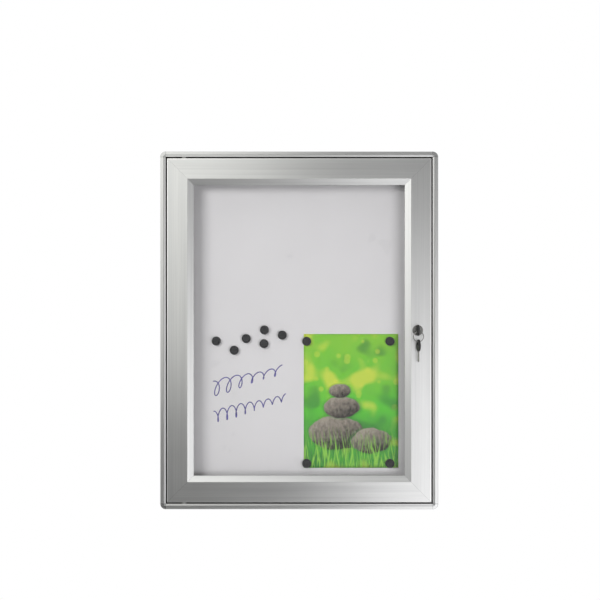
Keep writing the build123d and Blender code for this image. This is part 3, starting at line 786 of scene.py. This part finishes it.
bladeLook = {
    "color": rgb(0.30, 0.70, 0.07),
    "sets": [{"lean": 0.16, "reach": 0.34, "move": 0.0}, {"lean": -0.12, "reach": 0.26, "move": 0.37}],
    "stretch": (1.0, 0.0, 0.07),
    "size": 0.0042,
    "fullBelow": 0.25,
    "bladeFrom": (0.52, 0.62),
    "dimFrom": (0.42, 0.32),
    "dimShare": 0.7,
}


def meadowPrint(tree, spot, height):
    look = meadowLook
    drift = remap(tree, noise(tree, spot, look["driftSize"]), *noiseSpan, *look["drift"])
    field = addNode(tree, "ShaderNodeValToRGB", {0: calc(tree, "ADD", height, drift)})
    stops = field.color_ramp.elements
    while len(stops) < len(look["grass"]):
        stops.new(0.5)
    for stop, (position, color) in zip(stops, look["grass"]):
        stop.position = position
        stop.color = color
    patch = noise(tree, vectorCalc(tree, "ADD", spot, look["patchMove"]), look["patchSize"], detail=1.0)
    glow = remap(tree, patch, *look["glowFrom"], 0.0, look["glowShare"], smooth=True)
    picture = mixColor(tree, glow, field.outputs["Color"], look["glow"])
    shade = remap(tree, patch, *look["shadeFrom"], 0.0, look["shadeShare"], smooth=True)
    picture = mixColor(tree, shade, picture, look["shade"])
    flat = vectorCalc(tree, "MULTIPLY", spot, (1.0, 0.0, 1.0))
    cells = addNode(tree, "ShaderNodeTexVoronoi", {"Vector": flat, "Scale": look["discsPerMetre"]})
    discs = remap(tree, cells.outputs["Distance"], *look["discEdge"], 0.0, 1.0)
    far = remap(tree, height, *look["discHeight"], 0.0, look["discShare"], smooth=True)
    return mixColor(tree, calc(tree, "MULTIPLY", discs, far), picture, look["glow"])


def stonesPrint(tree, spot, picture):
    look = stoneLook
    stretched = vectorCalc(tree, "MULTIPLY", spot, look["lichenStretch"])
    lichen = noise(tree, stretched, look["lichenSize"], detail=4.0, roughness=0.7)
    rugged = remap(tree, lichen, *noiseSpan, *look["lichen"])
    wobble = remap(tree, noise(tree, spot, look["wobbleSize"], detail=1.0), 0.0, 1.0, *look["wobble"])
    for (centreX, centreZ), (radiusX, radiusZ) in look["stones"]:
        offset = vectorCalc(tree, "SUBTRACT", spot, (centreX, 0.0, centreZ))
        unit = vectorCalc(tree, "MULTIPLY", offset, (1.0 / radiusX, 0.0, 1.0 / radiusZ))
        edge = calc(tree, "ADD", vectorCalc(tree, "LENGTH", unit, out="Value"), wobble)
        lit = vectorCalc(tree, "DOT_PRODUCT", unit, look["lightFrom"], out="Value")
        bright = remap(tree, calc(tree, "ADD", lit, rugged), *look["toneFrom"], 0.0, 1.0)
        cast = remap(tree, edge, *look["castFrom"], 0.0, look["castShare"], smooth=True)
        picture = mixColor(tree, cast, picture, meadowLook["shade"])
        inside = remap(tree, edge, *look["rim"], 0.0, 1.0, smooth=True)
        picture = mixColor(tree, inside, picture, mixColor(tree, bright, look["dark"], look["light"]))
    return picture


def bladesPrint(tree, spot, height, picture):
    # blades of grass in front of the stones
    look = bladeLook
    for blades in look["sets"]:
        values = {"Vector": spot, "Rotation": (0.0, blades["lean"], 0.0),
                  "Location": (blades["move"], 0.0, 0.0)}
        leaning = addNode(tree, "ShaderNodeMapping", values).outputs["Vector"]
        streak = noise(tree, vectorCalc(tree, "MULTIPLY", leaning, look["stretch"]), look["size"])
        full = blades["reach"] * look["fullBelow"]
        near = remap(tree, height, blades["reach"], full, 0.0, 1.0, smooth=True)
        blade = remap(tree, streak, *look["bladeFrom"], 0.0, 1.0, smooth=True)
        picture = mixColor(tree, calc(tree, "MULTIPLY", blade, near), picture, look["color"])
        dim = remap(tree, streak, *look["dimFrom"], 0.0, look["dimShare"], smooth=True)
        picture = mixColor(tree, calc(tree, "MULTIPLY", dim, near), picture, meadowLook["shade"])
    return picture


def stonePrint():
    look = sheetLook
    finish = Finish("picturePrint", {"Roughness": look["roughness"], "Specular IOR Level": look["shine"]})
    tree = finish.tree
    low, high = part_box("notice_sheet")
    spot = finish.turned(move=(-low.x, 0.0, -low.z))  # metres from the sheet's lower left corner
    height = calc(tree, "DIVIDE", splitXyz(tree, spot)[2], high.z - low.z)
    picture = meadowPrint(tree, spot, height)
    picture = stonesPrint(tree, spot, picture)
    picture = bladesPrint(tree, spot, height, picture)
    facing = splitXyz(tree, addNode(tree, "ShaderNodeTexCoord").outputs["Normal"])[1]
    bare = remap(tree, facing, *look["paperFrom"], 0.0, 1.0)
    finish.feed("Base Color", mixColor(tree, bare, picture, look["paper"]))
    grain = finish.effect("mottle", **look["fibre"])["Grain"]
    finish.bump(grain, look["fibreStrength"], look["fibreHeight"])
    return finish.material


def paperLift(u, v):
    # the paper stays down at its corners and lifts a little between the magnets
    look = sheetLook
    ends = look["middleLift"] + (1.0 - look["middleLift"]) * (2 * v - 1) ** 2
    lift = math.sin(math.pi * u) * ends * (1.0 if v < 0.5 else look["upperLift"])
    lift += look["sideLift"] * math.sin(math.pi * v) * (2 * u - 1) ** 2
    return look["lift"] * lift


def makeSheet():
    low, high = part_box("notice_sheet")
    across, down = sheetLook["cells"]
    work = bmesh.new()
    layers = []
    for level in (low.y, high.y):
        grid = []
        for row in range(down + 1):
            v = row / down
            for column in range(across + 1):
                u = column / across
                x = low.x + (high.x - low.x) * u
                z = low.z + (high.z - low.z) * v
                grid.append(work.verts.new((x, level - paperLift(u, v), z)))
        layers.append(grid)
    front, back = layers
    wide = across + 1
    for row in range(down):
        for column in range(across):
            first = row * wide + column
            loop = [first, first + 1, first + 1 + wide, first + wide]
            work.faces.new([front[i] for i in loop])
            work.faces.new([back[i] for i in reversed(loop)])
    rim = list(range(across)) + [row * wide + across for row in range(down)]
    rim += [down * wide + column for column in range(across, 0, -1)]
    rim += [row * wide for row in range(down, 0, -1)]
    for here, there in zip(rim, rim[1:] + rim[:1]):
        work.faces.new([front[there], front[here], back[here], back[there]])
    bmesh.ops.recalc_face_normals(work, faces=work.faces)
    for face in work.faces:
        face.smooth = abs(face.normal.y) > 0.5
    mesh = bpy.data.meshes.new("pictureSheet")
    work.to_mesh(mesh)
    work.free()
    mesh.materials.append(stonePrint())
    return addPiece("pictureSheet", mesh, "cabinet", "printed_paper", "notice_sheet")


makeSheet()
print("picture sheet laid")


# marker scribble on the enamel: two slanted runs of loops and waves

inkLook = {
    "color": rgb(0.035, 0.022, 0.20),
    "thin": rgb(0.10, 0.08, 0.42),
    "thinFrom": (0.35, 0.7),
    "mottle": {"cloudSize": 0.006, "grainSize": 0.0004},
    "rough": (0.38, 0.55),
    "width": 0.0024,
    "thickness": 0.0001,
    "nibSides": 10,
    "slant": math.radians(15.0),
    "stepsPerLoop": 22,
    "swell": (0.75, 0.25),
    "swellPace": 5.1,
    "lag": 0.6,
    "runs": [
        {"start": (-0.194, -0.130), "length": 0.160, "height": 0.017, "loops": 6, "lean": 0.8},
        {"start": (-0.190, -0.192), "length": 0.166, "height": 0.014, "loops": 8, "lean": 0.45},
    ],
}


def markerInk():
    look = inkLook
    finish = Finish("markerInk", {})
    tree = finish.tree
    mottle = finish.effect("mottle", **look["mottle"])
    thin = remap(tree, mottle["Cloud"], *look["thinFrom"], 0.0, 1.0)
    finish.feed("Base Color", mixColor(tree, thin, look["color"], look["thin"]))
    finish.feed("Roughness", remap(tree, mottle["Grain"], *noiseSpan, *look["rough"]))
    return finish.material


def scribblePoints(run, y):
    # a wave that leans back on itself far enough to loop
    steps = run["loops"] * inkLook["stepsPerLoop"]
    cosine, sine = math.cos(inkLook["slant"]), math.sin(inkLook["slant"])
    startX, startZ = run["start"]
    base, change = inkLook["swell"]
    points = []
    for step in range(steps + 1):
        share = step / steps
        phase = 2 * math.pi * run["loops"] * share
        reach = run["height"] * (base + change * math.sin(inkLook["swellPace"] * share + run["lean"]))
        along = run["length"] * share + run["lean"] * reach * math.sin(phase + inkLook["lag"])
        up = reach * math.cos(phase)
        points.append((startX + along * cosine - up * sine, y, startZ + along * sine + up * cosine))
    return points


def makeInkTree():
    inputs = {**geometrySocket, "Width": ("Float", 0.002), "Thickness": ("Float", 0.0001),
              "Finish": ("Material", None)}
    tree, given, out = newTree("inkStroke", "GeometryNodeTree", inputs, geometrySocket)
    line = addNode(tree, "GeometryNodeMeshToCurve", {"Mesh": given["Geometry"]}).outputs["Curve"]
    stroke = sweep(tree, line, inkLook["nibSides"], given["Thickness"], given["Width"])
    closeTree(tree, stroke, given, out)
    return tree


inkTree = makeInkTree()
inkValues = {"Width": inkLook["width"], "Thickness": inkLook["thickness"], "Finish": markerInk()}
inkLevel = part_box("panel_face")[0].y - inkLook["thickness"] / 2
for number, run in enumerate(inkLook["runs"], 1):
    path = pathMesh(f"scribblePath{number}", scribblePoints(run, inkLevel))
    mesh = growMesh(f"markerScribble{number}", path, inkTree, inkValues)
    addPiece(f"markerScribble{number}", mesh, "cabinet", "white_enamel")
print("marker scribble drawn:", len(inkLook["runs"]), "runs")


# stage: floor, world, lamps and camera

white = rgb(1.0, 1.0, 1.0)
floorLook = {
    "drop": 3.5,
    "reach": 12.0,
    "color": rgb(0.45, 0.45, 0.45),
    "roughness": 0.9,
    "behind": (0.0, 0.5),
}
worldLook = {
    "front": 0.12,
    "back": 0.72,
    "roomEdges": (-0.8, -0.1),
    "behind": (-0.1, 0.3),
    "ceiling": 0.21,
    "ceilingEdges": (0.25, 0.9),
    "slope": (-0.12, 0.0, -0.12),
}
plainTint, warmTint, coolTint = (1.0, 1.0, 1.0), (1.0, 1.0, 0.97), (0.99, 0.985, 1.0)
lampLook = {  # each by its left, right, lower and upper edges, its radiance and its tint
    "boxY": -1.5,
    "boxes": {
        "upperLeftBox": ((-7.5, -0.08, 0.33, 3.2), 1.13, warmTint),
        "leftStep": ((-7.5, -0.08, -0.19, 0.33), 0.76, warmTint),
        "lowerRightBox": ((0.205, 0.75, -3.4, -0.05), 1.44, coolTint),
        "farRightBox": ((0.75, 4.0, -3.4, -0.05), 1.13, coolTint),
        "rightStep": ((0.18, 4.0, -0.05, 0.33), 0.76, coolTint),
        "middleStrip": ((-0.08, 0.18, 0.06, 0.33), 0.32, plainTint),
        "upperRightFill": ((0.0, 2.5, 0.33, 2.5), 0.18, plainTint),
    },
    "keyY": -2.1,
    "keys": {
        "leftKey": ((-2.15, -0.85, 0.35, 1.1), 11.0, (1.0, 1.0, 0.985)),
        "rightKey": ((0.55, 1.8, -0.85, -0.2), 8.7, (0.99, 0.99, 1.0)),
    },
    "behindPane": ("panel_face", "magnet_", "pictureSheet", "markerScribble"),
}
cameraLook = {"lens": 82.5, "y": -3.059, "shift": (0.0013, 0.0506)}


def whiteForCamera(tree, light, shader, out, mirrored):
    path = addNode(tree, "ShaderNodeLightPath").outputs
    # through the pane too, but not for light that a surface behind it scatters
    direct = calc(tree, "LESS_THAN", path["Diffuse Depth"], 0.5)
    through = calc(tree, "MULTIPLY", path["Is Transmission Ray"], direct)
    shown = calc(tree, "MAXIMUM", path["Is Camera Ray"], through)
    # and in the metal, where it mirrors what is behind the case
    seen = calc(tree, "MAXIMUM", shown, calc(tree, "MULTIPLY", path["Is Glossy Ray"], mirrored))
    both = addNode(tree, "ShaderNodeMixShader", {0: seen, 1: shader, 2: light})
    tree.links.new(both.outputs["Shader"], out.inputs["Surface"])


def makeFloor():
    mesh = bpy.data.meshes.new("floor")
    reach, level = floorLook["reach"], -floorLook["drop"]
    corners = [(x * reach, y * reach, level) for x, y in ((-1, -1), (1, -1), (1, 1), (-1, 1))]
    mesh.from_pydata(corners, [], [(0, 1, 2, 3)])
    floor = bpy.data.objects.new("floor", mesh)
    scene.collection.objects.link(floor)
    finish = Finish("paleFloor", {"Base Color": floorLook["color"], "Roughness": floorLook["roughness"]})
    glow = addNode(finish.tree, "ShaderNodeEmission", {"Color": white, "Strength": 1.0})
    place = addNode(finish.tree, "ShaderNodeNewGeometry").outputs["Position"]
    behind = remap(finish.tree, splitXyz(finish.tree, place)[1], *floorLook["behind"], 0.0, 1.0, smooth=True)
    surface = finish.shader.outputs["BSDF"]
    whiteForCamera(finish.tree, glow.outputs["Emission"], surface, finish.output, behind)
    mesh.materials.append(finish.material)


def makeWorld():
    # a white backdrop behind the case, a dimmer room with a pale ceiling in front of it
    look = worldLook
    world = bpy.data.worlds.new("studio")
    scene.world = world
    world.use_nodes = True
    tree = world.node_tree
    tree.nodes.clear()
    out = addNode(tree, "ShaderNodeOutputWorld")
    direction = addNode(tree, "ShaderNodeTexCoord").outputs["Generated"]
    parts = splitXyz(tree, direction)
    sides = remap(tree, parts[1], *look["roomEdges"], look["front"], look["back"], smooth=True)
    above = remap(tree, parts[2], *look["ceilingEdges"], 0.0, look["ceiling"], smooth=True)
    level = calc(tree, "MINIMUM", calc(tree, "ADD", sides, above), 1.0)
    lean = calc(tree, "ADD", vectorCalc(tree, "DOT_PRODUCT", direction, look["slope"], out="Value"), 1.0)
    strength = calc(tree, "MULTIPLY", level, lean)
    room = addNode(tree, "ShaderNodeBackground", {"Color": white, "Strength": strength})
    backdrop = addNode(tree, "ShaderNodeBackground", {"Color": white, "Strength": 1.0})
    behind = remap(tree, parts[1], *look["behind"], 0.0, 1.0, smooth=True)
    whiteForCamera(tree, backdrop.outputs["Background"], room.outputs["Background"], out, behind)


def addLamp(name, edges, y, radiance, tint, receivers):
    left, right, lower, upper = edges
    data = bpy.data.lights.new(name, "AREA")
    data.shape = "RECTANGLE"
    data.size = right - left
    data.size_y = upper - lower
    data.energy = radiance * math.pi * data.size * data.size_y
    data.color = tint
    lamp = bpy.data.objects.new(name, data)
    lamp.location = ((left + right) / 2, y, (lower + upper) / 2)
    lamp.light_linking.receiver_collection = receivers
    lamp.rotation_euler = (quarter, 0.0, 0.0)
    lamp.visible_camera = False
    scene.collection.objects.link(lamp)


def makeLamps():
    # the keys are for what is behind the pane, and the large boxes for the metal, with no glare on the pane
    inside = bpy.data.collections.new("behindPane")
    outside = bpy.data.collections.new("roundPane")
    for piece in [piece for piece in scene.objects if piece.name.startswith(lampLook["behindPane"])]:
        inside.objects.link(piece)
    for piece in [nodes["door_pane"], *inside.objects]:
        outside.objects.link(piece)
    for entry in outside.collection_objects:
        entry.light_linking.link_state = "EXCLUDE"
    for name, (edges, radiance, tint) in lampLook["boxes"].items():
        addLamp(name, edges, lampLook["boxY"], radiance, tint, outside)
    for name, (edges, radiance, tint) in lampLook["keys"].items():
        addLamp(name, edges, lampLook["keyY"], radiance, tint, inside)


def makeCamera():
    data = bpy.data.cameras.new("camera")
    data.lens = cameraLook["lens"]
    data.shift_x, data.shift_y = cameraLook["shift"]
    camera = bpy.data.objects.new("camera", data)
    camera.location = (0.0, cameraLook["y"], 0.0)
    camera.rotation_euler = (quarter, 0.0, 0.0)
    scene.collection.objects.link(camera)
    scene.camera = camera


makeFloor()
makeWorld()
makeLamps()
makeCamera()
print("stage set")
